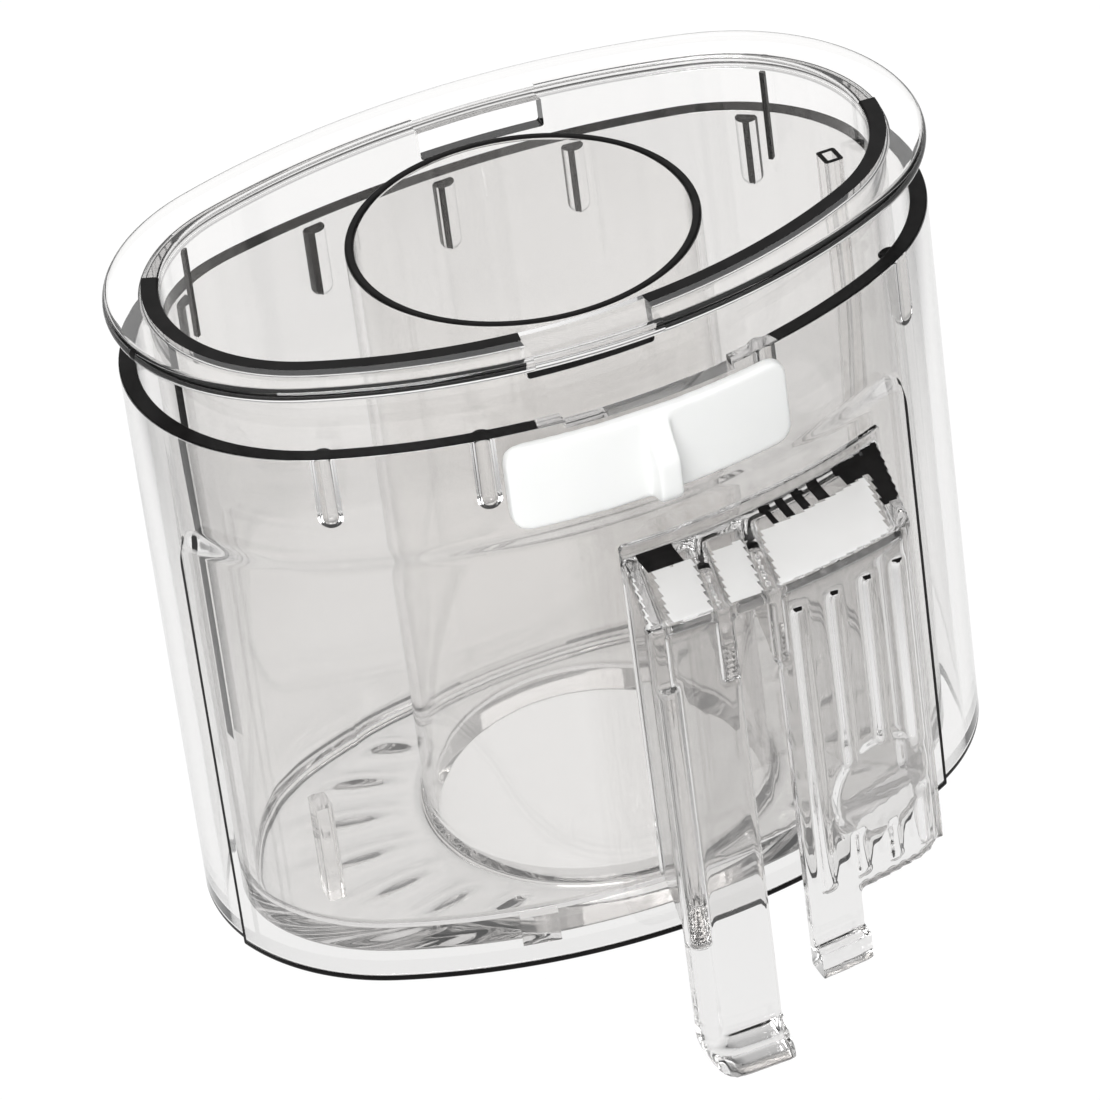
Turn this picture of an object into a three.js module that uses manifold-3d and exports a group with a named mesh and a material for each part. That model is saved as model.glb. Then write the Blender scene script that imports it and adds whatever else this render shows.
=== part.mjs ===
// Pusher and sleeve of a food processor's wide feed tube.
// Millimetres, +Z up. The origin is the middle of the sleeve's bottom opening,
// -Y is the side with the slide lock and the interlock arm, and X runs along the long axis.
import * as THREE from 'three';
import { mergeVertices } from 'three/addons/utils/BufferGeometryUtils.js';
import Module from 'manifold-3d';

const wasm = await Module();
wasm.setup();

// ---- Driving dimensions -------------------------------------------------------------

// A plan oval is four arcs: a flat front arc, a flat back arc and two tight end arcs.
// half, front and back are its reaches from the origin, and end is the end arcs' radius.
const SLEEVE = { half: 65, front: 42, back: 38.4, end: 34.5 };
const FLANGE = { half: 66, front: 43, back: 40.4, end: 35 };
const GAP = 0.3;

const SLEEVE_HEIGHT = 98;
const SLEEVE_WALL = 2.8;
const FIN = { top: 97.4, bottom: 84.5, radius: 2.3, gap: 0.5 };
const FRONT_FINS = [-51, -23.6, 23.6, 52.3];
const BACK_FINS = [-51, -23, 0, 23, 51];
const RAISED = { step: 0.8, top: 80, corner: 4, left: -9.3, right: 48 };
const RIM_NOTCH = { from: -11, to: 17, depth: 1.2 };

const FLANGE_TOP = 110.5;
const FLANGE_THICKNESS = 2.4;
const FLANGE_OVERHANG = 6.6;
const PUSHER_WALL = 2.3;
const PUSHER_BOTTOM = 2;
const WINDOW = { width: 20.5, low: 103.2, high: 108.1, front: -3.7, back: 6.7 };
const STOP_RIB = { at: [-47.3, 50.8], low: 91, high: 107, width: 0.8, proud: 1 };
const STOP_LUG = { at: [-23.6, 23.6], width: 6, height: 5.5, proud: 1.7 };

const FLOOR_THICKNESS = 3;
const FLOOR_COVE = { height: 7.2, width: 2.6 };
const SPOKE = { count: 12, width: 1.4, height: 1.2, inner: 31.5, outer: 48, spread: 1.3 };

const TUBE = { radius: 27.5, wall: 1.5, y: -1.9, top: 107.5 };
const TUBE_COLLAR = { width: 2, height: 4 };
const END_POST = { x: 54.1, y: 4.8, width: 3.2, depth: 4, wall: 0.8, top: 98 };
const CORNER_POST = { x: -49, y: -14, width: 2.6, depth: 4.4, top: 27 };
const POST_FOOT = PUSHER_BOTTOM + FLOOR_COVE.height + GAP;

const LOCK = { from: -21.6, to: 24.8, low: 82, high: 96.6, thickness: 2.4, corner: 2.8 };
const LOCK_GRIP = { from: 0, to: 4.2, low: 81.7, high: 95.4, proud: 6.6, corner: 2 };
const LOCK_TRAVEL = 7.4;
const TONGUE = { from: -3, to: 11, low: 87.2, high: 91.2 };
const RETAINER = { from: -5, to: 13, low: 84.4, high: 94, thickness: 1.1 };

const ARM_DEPTH = 21.6;
const ARM_WALL = 2.2;
const ARM_LEAN = 0.2126;
const ARM = { left: -5.4, right: 39.3, top: 72, bottom: 12, plate: 2.4, corner: 5 };
const ARM_PAD = { from: -6.2, to: 41.6, top: 74.8, thickness: 0.8 };
const GUSSET = { at: [5.6, 14], width: 1.8, bottom: 58 };
const LONG_LEG = { from: -10.1, to: 3.7, bottom: -11.7, corner: 6, toe: 0.8 };
const KICK = { reach: 4, top: -4.5, low: -9.4 };
const PANEL = { from: 10.4, to: 35, bottom: 11.4, corner: 4 };
const SHORT_LEG = { to: 19.6, bottom: -0.4, lip: 2.4, lipTop: 4.6 };
const PANEL_RIB = { at: [14, 20.3, 26.4, 32.2], width: 2, proud: 1, low: 14.5, high: 67 };

// Steps along each curve of an outline, and round each full circle.
const ARC_STEPS = 7;
const FIN_STEPS = 12;
const TUBE_STEPS = 48;
// Past the object in any direction, for the blocks that cut it.
const FAR = 200;
// How far pieces that become one solid run into each other.
const BITE = 1;

// ---- Materials ----------------------------------------------------------------------

function clearPlastic() {
  const look = { color: 0xeceaea, roughness: 0.06, transparent: true, opacity: 0.35 };
  return new THREE.MeshStandardMaterial(look);
}

function whitePlastic() {
  return new THREE.MeshStandardMaterial({ color: 0xf4f6f2, roughness: 0.35 });
}

// ---- Geometry helpers ---------------------------------------------------------------

function solidOf(geometry) {
  geometry.deleteAttribute('normal');
  geometry.deleteAttribute('uv');
  const merged = mergeVertices(geometry, 1e-4);
  return new wasm.Manifold(new wasm.Mesh({
    numProp: 3,
    vertProperties: Float32Array.from(merged.attributes.position.array),
    triVerts: Uint32Array.from(merged.index.array),
  }));
}

function partOf(name, solid, material) {
  const { vertProperties, triVerts } = solid.getMesh();
  const geometry = new THREE.BufferGeometry();
  geometry.setAttribute('position', new THREE.BufferAttribute(Float32Array.from(vertProperties), 3));
  geometry.setIndex(new THREE.BufferAttribute(Uint32Array.from(triVerts), 1));
  geometry.computeVertexNormals();
  const mesh = new THREE.Mesh(geometry, material);
  mesh.name = name;
  return mesh;
}

function box(x0, x1, y0, y1, z0, z1) {
  const geometry = new THREE.BoxGeometry(x1 - x0, y1 - y0, z1 - z0);
  geometry.translate((x0 + x1) / 2, (y0 + y1) / 2, (z0 + z1) / 2);
  return solidOf(geometry);
}

function extruded(shape, depth) {
  return new THREE.ExtrudeGeometry(shape, { depth, bevelEnabled: false, curveSegments: ARC_STEPS });
}

// Stands a plan outline up from z0 to z1.
function prism(shape, z0, z1) {
  const geometry = extruded(shape, z1 - z0);
  geometry.translate(0, 0, z0);
  return solidOf(geometry);
}

// Pushes a front-view (X, Z) outline through the front half of the object along Y.
function frontMask(shape) {
  const geometry = extruded(shape, FAR);
  geometry.rotateX(Math.PI / 2);
  return solidOf(geometry);
}

// Pushes a side-view (Y, Z) outline through the object along X.
function sideMask(shape) {
  const geometry = extruded(shape, 2 * FAR);
  geometry.rotateX(Math.PI / 2);
  geometry.rotateZ(Math.PI / 2);
  geometry.translate(-FAR, 0, 0);
  return solidOf(geometry);
}

function cylinder(radius, x, y, z0, z1, steps) {
  const geometry = new THREE.CylinderGeometry(radius, radius, z1 - z0, steps);
  geometry.rotateX(Math.PI / 2);
  geometry.translate(x, y, (z0 + z1) / 2);
  return solidOf(geometry);
}

// A rectangle whose corners are rounded by [low left, low right, high right, high left].
function roundedRectangle(x0, x1, z0, z1, [a, b, c, d]) {
  const shape = new THREE.Shape();
  shape.moveTo(x0 + a, z0);
  shape.lineTo(x1 - b, z0);
  if (b) shape.absarc(x1 - b, z0 + b, b, -Math.PI / 2, 0);
  shape.lineTo(x1, z1 - c);
  if (c) shape.absarc(x1 - c, z1 - c, c, 0, Math.PI / 2);
  shape.lineTo(x0 + d, z1);
  if (d) shape.absarc(x0 + d, z1 - d, d, Math.PI / 2, Math.PI);
  shape.lineTo(x0, z0 + a);
  if (a) shape.absarc(x0 + a, z0 + a, a, Math.PI, 1.5 * Math.PI);
  return shape;
}

function polygon(points) {
  return new THREE.Shape(points.map(([x, y]) => new THREE.Vector2(x, y)));
}

// ---- Plan ovals ---------------------------------------------------------------------

function grown(oval, by) {
  return { half: oval.half + by, front: oval.front + by, back: oval.back + by, end: oval.end + by };
}

// The long arc that reaches out to depth and meets both end arcs smoothly.
// Its centre is past the long axis by rise, and it meets an end arc at the angle turn.
function longArc(oval, depth) {
  const reach = oval.half - oval.end;
  const radius = (reach ** 2 + depth ** 2 - oval.end ** 2) / (2 * (depth - oval.end));
  const rise = radius - depth;
  return { radius, rise, turn: Math.atan2(rise, reach) };
}

function traceOval(path, oval) {
  const front = longArc(oval, oval.front);
  const back = longArc(oval, oval.back);
  const reach = oval.half - oval.end;
  path.absarc(0, front.rise, front.radius, Math.PI + front.turn, 2 * Math.PI - front.turn);
  path.absarc(reach, 0, oval.end, -front.turn, back.turn);
  path.absarc(0, -back.rise, back.radius, back.turn, Math.PI - back.turn);
  path.absarc(-reach, 0, oval.end, Math.PI - back.turn, Math.PI + front.turn);
  return path;
}

function slab(oval, z0, z1) {
  return prism(traceOval(new THREE.Shape(), oval), z0, z1);
}

function ring(outer, inner, z0, z1) {
  const shape = traceOval(new THREE.Shape(), outer);
  shape.holes.push(traceOval(new THREE.Path(), inner));
  return prism(shape, z0, z1);
}

// The wall between two distances out from the sleeve's outer face.
function band(near, far, z0, z1) {
  return ring(grown(SLEEVE, far), grown(SLEEVE, near), z0, z1);
}

// Where the front or back side of an oval lies at x, and the way it faces there.
function sidePoint(oval, x, side) {
  const { radius, rise, turn } = longArc(oval, side < 0 ? oval.front : oval.back);
  if (Math.abs(x) <= radius * Math.cos(turn)) {
    const y = Math.sqrt(radius ** 2 - x ** 2) - rise;
    return { x, y: side * y, facing: Math.atan2(side * (y + rise), x) };
  }
  const along = Math.abs(x) - (oval.half - oval.end);
  const y = side * Math.sqrt(oval.end ** 2 - along ** 2);
  return { x, y, facing: Math.atan2(y, Math.sign(x) * along) };
}

// A block on an oval's face at x, with its inner and outer faces at the given distances out.
function faceBlock(oval, x, side, width, near, far, z0, z1) {
  const { x: px, y: py, facing } = sidePoint(oval, x, side);
  const geometry = new THREE.BoxGeometry(far - near, width, z1 - z0);
  geometry.translate((near + far) / 2, 0, (z0 + z1) / 2);
  geometry.rotateZ(facing);
  geometry.translate(px, py, 0);
  return solidOf(geometry);
}

// ---- Sleeve -------------------------------------------------------------------------

const SLEEVE_INNER = grown(SLEEVE, -SLEEVE_WALL);
const PUSHER = grown(FLANGE, -FLANGE_OVERHANG);
const PUSHER_INNER = grown(PUSHER, -PUSHER_WALL);

function guideFins() {
  const clear = slab(grown(PUSHER, FIN.gap), -FAR, FAR);
  const inside = slab(grown(SLEEVE_INNER, SLEEVE_WALL / 2), FIN.bottom, FIN.top);
  const places = [...FRONT_FINS.map((x) => [x, -1]), ...BACK_FINS.map((x) => [x, 1])];
  return places.map(([x, side]) => {
    const at = sidePoint(SLEEVE_INNER, x, side);
    const post = cylinder(FIN.radius, at.x, at.y, FIN.bottom, FIN.top, FIN_STEPS);
    return post.intersect(inside).subtract(clear);
  });
}

// The front of the sleeve is thicker, from the left end round to the right of the arm.
function raisedFront() {
  const corners = [0, 0, RAISED.corner, 0];
  const side = sideMask(roundedRectangle(-FAR, RAISED.left, -FAR, RAISED.top, corners));
  const front = frontMask(roundedRectangle(-FAR, RAISED.right, -FAR, RAISED.top, corners));
  return band(-SLEEVE_WALL / 2, RAISED.step, 0, RAISED.top).intersect(side).intersect(front);
}

function sleeveShell() {
  let shell = ring(SLEEVE, SLEEVE_INNER, 0, SLEEVE_HEIGHT).add(raisedFront());
  for (const fin of guideFins()) shell = shell.add(fin);
  const slotEnd = TONGUE.to + LOCK_TRAVEL + 2 * GAP;
  shell = shell.subtract(box(TONGUE.from - GAP, slotEnd, -FAR, 0, TONGUE.low - GAP, TONGUE.high + GAP));
  const notchLow = SLEEVE_HEIGHT - RIM_NOTCH.depth;
  return shell.subtract(box(RIM_NOTCH.from, RIM_NOTCH.to, -FAR, 0, notchLow, FAR));
}

// ---- Interlock arm ------------------------------------------------------------------

// The arm's side faces lean towards -X as they go outwards.
function leaned(x, y) {
  return x + (y + SLEEVE.front) * ARM_LEAN;
}

function leaningStrip(from, to) {
  return polygon([
    [leaned(from, -FAR), -FAR], [leaned(to, -FAR), -FAR], [leaned(to, 0), 0], [leaned(from, 0), 0],
  ]);
}

function leaningWall(from, width, far, z0, z1) {
  return band(GAP + RAISED.step, far, z0, z1).intersect(prism(leaningStrip(from, from + width), z0, z1));
}

// What the round front right corner of the top plate leaves off: a wedge less a cylinder.
// The cylinder touches the plate's front edge straight ahead and its right edge beside it.
function plateCornerCut(z0, z1) {
  const track = grown(SLEEVE, ARM_DEPTH - ARM.corner);
  const beside = new THREE.Vector2(1, -ARM_LEAN).normalize();
  const x = leaned(ARM.right, sidePoint(track, ARM.right, -1).y) - ARM.corner / beside.x;
  const { y, facing } = sidePoint(track, x, -1);
  const centre = new THREE.Vector2(x, y);
  const ahead = new THREE.Vector2(Math.cos(facing), Math.sin(facing));
  const outward = centre.clone().addScaledVector(ahead, FAR);
  const sideways = centre.clone().addScaledVector(beside, FAR);
  const wedge = prism(new THREE.Shape([centre, outward, sideways]), z0, z1);
  return wedge.subtract(cylinder(ARM.corner, x, y, z0, z1, TUBE_STEPS));
}

function interlockBracket() {
  const seat = GAP + RAISED.step;
  const inner = ARM_DEPTH - ARM_WALL - GAP;
  const plateLow = ARM.top - ARM.plate;
  let bracket = band(seat, ARM_DEPTH, plateLow, ARM.top);
  bracket = bracket.intersect(prism(leaningStrip(ARM.left, ARM.right), plateLow, ARM.top));
  bracket = bracket.subtract(plateCornerCut(plateLow, ARM.top));
  const padMask = box(ARM_PAD.from, ARM_PAD.to, -FAR, 0, ARM.bottom, ARM_PAD.top);
  bracket = bracket.add(band(seat, seat + ARM_PAD.thickness, ARM.bottom, ARM_PAD.top).intersect(padMask));
  for (const x of [ARM.left, ARM.right - ARM_WALL]) {
    bracket = bracket.add(leaningWall(x, ARM_WALL, inner, ARM.bottom, ARM.top));
  }
  for (const x of GUSSET.at) {
    bracket = bracket.add(leaningWall(x, GUSSET.width, inner, GUSSET.bottom, ARM.top));
  }
  return bracket;
}

// The leg's foot kicks outwards.
function kickSide() {
  const face = -SLEEVE.front - ARM_DEPTH;
  const within = face + ARM_WALL / 2;
  const outside = face - KICK.reach;
  return polygon([
    [within, LONG_LEG.bottom],
    [within, KICK.top],
    [face, KICK.top],
    [outside, KICK.low],
    [outside, LONG_LEG.bottom],
  ]);
}

function longLeg() {
  const { from, to, bottom, corner, toe } = LONG_LEG;
  const top = ARM.top - ARM.plate - GAP;
  const mask = frontMask(roundedRectangle(from, to, bottom, top, [corner, toe, 0, 0]));
  const blade = band(ARM_DEPTH - ARM_WALL, ARM_DEPTH, bottom, top);
  return blade.add(sideMask(kickSide())).intersect(mask);
}

function panelOutline(top) {
  const { from, to, bottom, corner } = PANEL;
  const shape = new THREE.Shape();
  shape.moveTo(from, SHORT_LEG.bottom);
  shape.lineTo(SHORT_LEG.to, SHORT_LEG.bottom);
  shape.lineTo(SHORT_LEG.to, bottom);
  shape.lineTo(to - corner, bottom);
  shape.absarc(to - corner, bottom + corner, corner, -Math.PI / 2, 0);
  shape.lineTo(to, top);
  shape.lineTo(from, top);
  return shape;
}

function interlockPanel() {
  const top = ARM.top - ARM.plate - GAP;
  const near = ARM_DEPTH - ARM_WALL;
  const outer = grown(SLEEVE, ARM_DEPTH);
  let panel = band(near, ARM_DEPTH, SHORT_LEG.bottom, top).intersect(frontMask(panelOutline(top)));
  for (const x of PANEL_RIB.at) {
    const { width, proud, low, high } = PANEL_RIB;
    panel = panel.add(faceBlock(outer, x, -1, width, -BITE, proud, low, high));
  }
  const lipMask = box(PANEL.from, SHORT_LEG.to, -FAR, 0, SHORT_LEG.bottom, SHORT_LEG.lipTop);
  const lip = band(near, ARM_DEPTH + SHORT_LEG.lip, SHORT_LEG.bottom, SHORT_LEG.lipTop);
  return panel.add(lip.intersect(lipMask));
}

// ---- Slide lock ---------------------------------------------------------------------

function lockSlider() {
  const { from, to, low, high, thickness, corner } = LOCK;
  const outline = roundedRectangle(from, to, low, high, [corner, corner, corner, corner]);
  const plate = band(GAP, GAP + thickness, low, high).intersect(frontMask(outline));
  const { corner: round, ...grip } = LOCK_GRIP;
  const gripOutline = roundedRectangle(grip.from, grip.to, grip.low, grip.high, [round, round, 0, 0]);
  const ridge = band(GAP + thickness / 2, grip.proud, grip.low, grip.high);
  return plate.add(ridge.intersect(frontMask(gripOutline)));
}

// The retainer sits behind the sleeve's wall, and its tongue reaches the slider through the slot.
function lockRetainer() {
  const back = -SLEEVE_WALL - GAP;
  const plateMask = box(RETAINER.from, RETAINER.to, -FAR, 0, RETAINER.low, RETAINER.high);
  const plate = band(back - RETAINER.thickness, back, RETAINER.low, RETAINER.high).intersect(plateMask);
  const tongueMask = box(TONGUE.from, TONGUE.to, -FAR, 0, TONGUE.low, TONGUE.high);
  return plate.add(band(back - GAP, 0, TONGUE.low, TONGUE.high).intersect(tongueMask));
}

// ---- Pusher -------------------------------------------------------------------------

function windowCut(centre, side) {
  const half = WINDOW.width / 2;
  const [y0, y1] = side < 0 ? [-FAR, -PUSHER.end / 2] : [PUSHER.end / 2, FAR];
  return box(centre - half, centre + half, y0, y1, WINDOW.low, WINDOW.high);
}

function stopRib(x) {
  return faceBlock(PUSHER, x, 1, STOP_RIB.width, -BITE, STOP_RIB.proud, STOP_RIB.low, STOP_RIB.high);
}

// A lug at the bottom of the pusher, which a guide fin stops when the pusher is pulled up.
function stopLug(x) {
  const high = PUSHER_BOTTOM + STOP_LUG.height;
  return faceBlock(PUSHER, x, -1, STOP_LUG.width, -BITE, STOP_LUG.proud, PUSHER_BOTTOM, high);
}

function pusherShell() {
  let shell = ring(PUSHER, PUSHER_INNER, PUSHER_BOTTOM, FLANGE_TOP);
  shell = shell.add(ring(FLANGE, PUSHER_INNER, FLANGE_TOP - FLANGE_THICKNESS, FLANGE_TOP));
  for (const x of STOP_RIB.at) shell = shell.add(stopRib(x));
  for (const x of STOP_LUG.at) shell = shell.add(stopLug(x));
  return shell.subtract(windowCut(WINDOW.front, -1)).subtract(windowCut(WINDOW.back, 1));
}

// Low spokes fan out over the floor at both ends of the feed tube.
function floorSpokes(top) {
  const perEnd = SPOKE.count / 2;
  return Array.from({ length: SPOKE.count }, (_, i) => {
    const along = (i % perEnd) / (perEnd - 1) - 0.5;
    const end = i < perEnd ? Math.PI : 0;
    const geometry = new THREE.BoxGeometry(SPOKE.outer - SPOKE.inner, SPOKE.width, 2 * SPOKE.height);
    geometry.translate((SPOKE.inner + SPOKE.outer) / 2, 0, top);
    geometry.rotateZ(along * SPOKE.spread + end);
    return solidOf(geometry);
  });
}

// The pusher's floor: a plate with a coved rim, low spokes and a collar round the feed tube.
function pusherFloor() {
  const edge = grown(PUSHER_INNER, -GAP);
  const top = PUSHER_BOTTOM + FLOOR_THICKNESS;
  const coveTop = PUSHER_BOTTOM + FLOOR_COVE.height;
  const midCove = (top + coveTop) / 2;
  let floor = slab(edge, PUSHER_BOTTOM, top);
  floor = floor.add(ring(edge, grown(edge, -FLOOR_COVE.width / 2), top - BITE, coveTop));
  floor = floor.add(ring(edge, grown(edge, -FLOOR_COVE.width), top - BITE, midCove));
  for (const spoke of floorSpokes(top)) floor = floor.add(spoke.intersect(slab(edge, 0, FAR)));
  const hole = TUBE.radius + GAP;
  const collarTop = top + TUBE_COLLAR.height;
  floor = floor.add(cylinder(hole + TUBE_COLLAR.width, 0, TUBE.y, top - BITE, collarTop, TUBE_STEPS));
  return floor.subtract(cylinder(hole, 0, TUBE.y, -FAR, FAR, TUBE_STEPS));
}

function feedTube() {
  const outside = cylinder(TUBE.radius, 0, TUBE.y, PUSHER_BOTTOM, TUBE.top, TUBE_STEPS);
  return outside.subtract(cylinder(TUBE.radius - TUBE.wall, 0, TUBE.y, -FAR, FAR, TUBE_STEPS));
}

function endPost() {
  const { x, y, width, depth, wall, top } = END_POST;
  const outer = box(x - width / 2, x + width / 2, y - depth / 2, y + depth / 2, POST_FOOT, top);
  const inX = width / 2 - wall;
  const inY = depth / 2 - wall;
  return outer.subtract(box(x - inX, x + inX, y - inY, y + inY, POST_FOOT + wall, FAR));
}

function cornerPost() {
  const { x, y, width, depth, top } = CORNER_POST;
  return box(x - width / 2, x + width / 2, y - depth / 2, y + depth / 2, POST_FOOT, top);
}

// ---- Assembly -----------------------------------------------------------------------

const pusherAssembly = new THREE.Group();
pusherAssembly.add(
  partOf('pusher_shell', pusherShell(), clearPlastic()),
  partOf('pusher_floor', pusherFloor(), clearPlastic()),
  partOf('feed_tube', feedTube(), clearPlastic()),
  partOf('end_post', endPost(), clearPlastic()),
  partOf('corner_post', cornerPost(), clearPlastic()),
);

const lockAssembly = new THREE.Group();
lockAssembly.add(
  partOf('lock_slider', lockSlider(), whitePlastic()),
  partOf('lock_retainer', lockRetainer(), whitePlastic()),
);

const assembly = new THREE.Group();
assembly.add(
  partOf('sleeve_shell', sleeveShell(), clearPlastic()),
  partOf('interlock_bracket', interlockBracket(), clearPlastic()),
  partOf('interlock_long_leg', longLeg(), clearPlastic()),
  partOf('interlock_panel', interlockPanel(), clearPlastic()),
  lockAssembly,
  pusherAssembly,
);

export default assembly;
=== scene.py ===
"""Looks for a clear feed-tube pusher in its sleeve, with a white slide lock and an interlock arm.

Shapes are built in millimetres in the part's own frame and scaled to metres as they become meshes.
+Z is up, -Y is the side with the slide lock and the arm, and X runs along the oval's long axis.
"""

import math

import bmesh
import bpy
import numpy as np
from mathutils import Matrix, Vector


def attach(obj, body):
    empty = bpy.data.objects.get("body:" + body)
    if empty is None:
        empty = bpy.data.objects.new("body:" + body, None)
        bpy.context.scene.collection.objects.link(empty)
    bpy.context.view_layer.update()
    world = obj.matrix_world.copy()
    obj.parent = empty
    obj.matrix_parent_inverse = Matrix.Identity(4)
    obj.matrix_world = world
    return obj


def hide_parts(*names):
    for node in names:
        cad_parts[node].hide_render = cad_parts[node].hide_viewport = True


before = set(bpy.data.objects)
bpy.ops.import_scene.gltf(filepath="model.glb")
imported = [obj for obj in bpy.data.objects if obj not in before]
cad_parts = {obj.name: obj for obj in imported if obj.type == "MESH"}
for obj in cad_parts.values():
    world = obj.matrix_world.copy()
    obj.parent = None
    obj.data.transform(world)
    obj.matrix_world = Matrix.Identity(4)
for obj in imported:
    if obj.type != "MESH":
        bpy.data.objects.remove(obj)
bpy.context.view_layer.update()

# FAR is outside the whole part. GUARD is the gap from a round to its guard points, SUNK is how
# deep a block's root goes into its wall, and NEARLY is the slack in the tests of faces.
MM = 0.001
FAR = 200.0
GUARD = 0.04
SUNK = 1.0
NEARLY = 0.3

# ---- Driving dimensions, in millimetres ---------------------------------------------

# A plan oval is a flat front arc, a flat back arc and two tight end arcs.
SLEEVE = dict(half=65.0, front=42.0, back=38.4, end=34.5)
PUSHER = dict(half=59.4, front=36.4, back=33.8, end=28.4)
STATION_PITCH = 1.2

SLEEVE_TOP = 98.0
SLEEVE_WALL = 2.8
SLEEVE_ROUNDS = dict(foot=0.9, rim=0.35, inner_foot=0.4)
# RAISED's line is how near an end of the raised front its outer faces are painted black as shade.
RAISED = dict(step=0.8, top=80.0, slope=4.0, over=1.0, corner=4.0, left_y=-9.3, right_x=48.0, line=1.1)
# Extra stations, as distances into the raised front from each of its ends.
RAISED_STATIONS = (-0.1, 0.0, 0.1, 0.3, 0.7, 1.2, 1.8, 2.5, 3.2, RAISED["corner"])
# Faces along the sleeve's outer foot, up to BOTTOM_LINE's height and in to its depth, are painted black
# as shade; the height is also a corner of the wall's section.
BOTTOM_LINE = dict(height=1.4, depth=1.2)
FRONT_FINS = (-51.0, -23.6, 23.6, 52.3)
BACK_FINS = (-51.0, -23.0, 0.0, 23.0, 51.0)
FIN = dict(radius=1.9, bottom=84.5, top=97.2, chamfer=0.4)
RIM_NOTCH = dict(left=-11.0, right=17.0, depth=1.2)
# Between these x, at the front, the rim is left out of the black painted shade.
RIM_SHADE_GAP = dict(left=-15.5, right=25.0)

PUSHER_BOTTOM = 2.0
PUSHER_TOP = 110.5
PUSHER_WALL = 2.3
FLANGE = dict(reach=6.46, thickness=2.4, root=0.9, low_edge=1.0, high_edge=1.3)
PUSHER_ROUNDS = dict(foot=0.8, rim=0.5)
RIM_BAND = 0.4
WINDOW = dict(width=20.5, low=103.2, high=108.1, front_x=-3.7, back_x=6.7)
STOP_RIBS = (-47.3, 50.8)
STOP_RIB = dict(width=0.8, proud=1.0, low=91.0, high=107.0)
STOP_LUGS = (-23.6, 23.6)
STOP_LUG = dict(width=6.0, proud=1.7, low=PUSHER_BOTTOM + 0.2, high=PUSHER_BOTTOM + 5.5)
FLOOR_TOP = 5.0
COVE = 2.6
# Along MOULD_LINE, above its low end, the pusher's wall is painted black as shade; the low end is also a
# corner of the wall's section.
MOULD_LINE = dict(y=-5.0, low=37.0, half=0.6)
TUBE = dict(radius=27.5, wall=1.5, y=-1.9, top=107.5, collar=2.3, round=0.5)
RIDGES = dict(count=24, height=1.1, fan=0.62)
END_POST = dict(x=54.1, y=4.8, width=3.2, depth=4.0, wall=0.8, low=9.5, top=98.0)
CORNER_POST = dict(x=-49.0, y=-14.0, width=2.6, depth=4.4, low=9.5, top=27.0)
POST_CORNER = 0.5

LOCK = dict(left=-21.6, right=24.8, low=82.0, high=96.6, near=0.3, far=2.7, corner=2.8)
GRIP = dict(left=0.2, right=4.0, low=82.0, high=95.2, proud=6.5, slope=5.5)
TONGUE = dict(left=-3.0, right=11.0, low=87.2, high=91.2)
RETAINER = dict(left=-5.0, right=13.0, low=84.4, high=94.0, near=-4.2, far=-3.1)
LOCK_TRAVEL = 7.4
SLOT_GAP = 0.3

ARM = dict(near=1.1, far=21.6, wall=2.2, left=-5.4, right=39.3, top=72.0, bottom=12.0, plate=2.4)
ARM_LEAN = 0.2126
ARM_INNER_TOP = ARM["top"] - 0.5
ARM_CORNER = 5.0
PAD = dict(left=-6.2, right=41.6, low=ARM["bottom"], high=74.8, thickness=0.8)
GUSSETS = (5.6, 14.0)
GUSSET = dict(width=1.8, bottom=58.0)
LEG = dict(left=-10.1, right=3.7, bottom=-11.7, corner=6.0, bead=1.8, bead_top=61.0, bead_set_in=0.4)
KICK = dict(reach=4.0, top=-4.5, low=-9.4)
PANEL = dict(left=10.4, right=35.0, bottom=11.4, corner=4.0)
SHORT_LEG = dict(right=19.6, bottom=-0.4, lip=2.4, lip_top=4.6)
PANEL_RIBS = (14.0, 20.3, 26.4, 32.2)
PANEL_RIB = dict(radius=1.0, low=14.5, high=67.0)
DISC = dict(x=25.0, z=29.0, radius=8.2, proud=0.5)


# ---- Plan ovals ---------------------------------------------------------------------

def long_arc(oval, depth):
    """Radius of the flat arc that reaches depth, and how far its centre is past the long axis."""
    reach = oval["half"] - oval["end"]
    radius = (reach ** 2 + depth ** 2 - oval["end"] ** 2) / (2 * (depth - oval["end"]))
    return radius, radius - depth


FRONT_RADIUS, FRONT_RISE = long_arc(SLEEVE, SLEEVE["front"])


def front_y(x, distance):
    """The y at x on the arc that runs a distance outside the sleeve's front."""
    return FRONT_RISE - math.sqrt((FRONT_RADIUS + distance) ** 2 - x ** 2)


def oval_arcs(oval):
    """The four arcs anticlockwise from the left end of the front: centre, radius, start, sweep."""
    reach = oval["half"] - oval["end"]
    front_radius, front_rise = long_arc(oval, oval["front"])
    back_radius, back_rise = long_arc(oval, oval["back"])
    front_turn = math.atan2(front_rise, reach)
    back_turn = math.atan2(back_rise, reach)
    return [
        ((0, front_rise), front_radius, math.pi + front_turn, math.pi - 2 * front_turn),
        ((reach, 0), oval["end"], -front_turn, front_turn + back_turn),
        ((0, -back_rise), back_radius, back_turn, math.pi - 2 * back_turn),
        ((-reach, 0), oval["end"], math.pi - back_turn, front_turn + back_turn),
    ]


def place_on(oval, along):
    """The point at a distance along the oval, and the way it faces."""
    arcs = oval_arcs(oval)
    along %= sum(radius * sweep for _, radius, _, sweep in arcs)
    for (cx, cy), radius, start, sweep in arcs:
        if along <= radius * sweep:
            break
        along -= radius * sweep
    turn = start + along / radius
    facing = np.array([math.cos(turn), math.sin(turn)])
    return np.array([cx, cy]) + radius * facing, facing


def perimeter(oval):
    """The length of the oval."""
    return sum(radius * sweep for _, radius, _, sweep in oval_arcs(oval))


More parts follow.
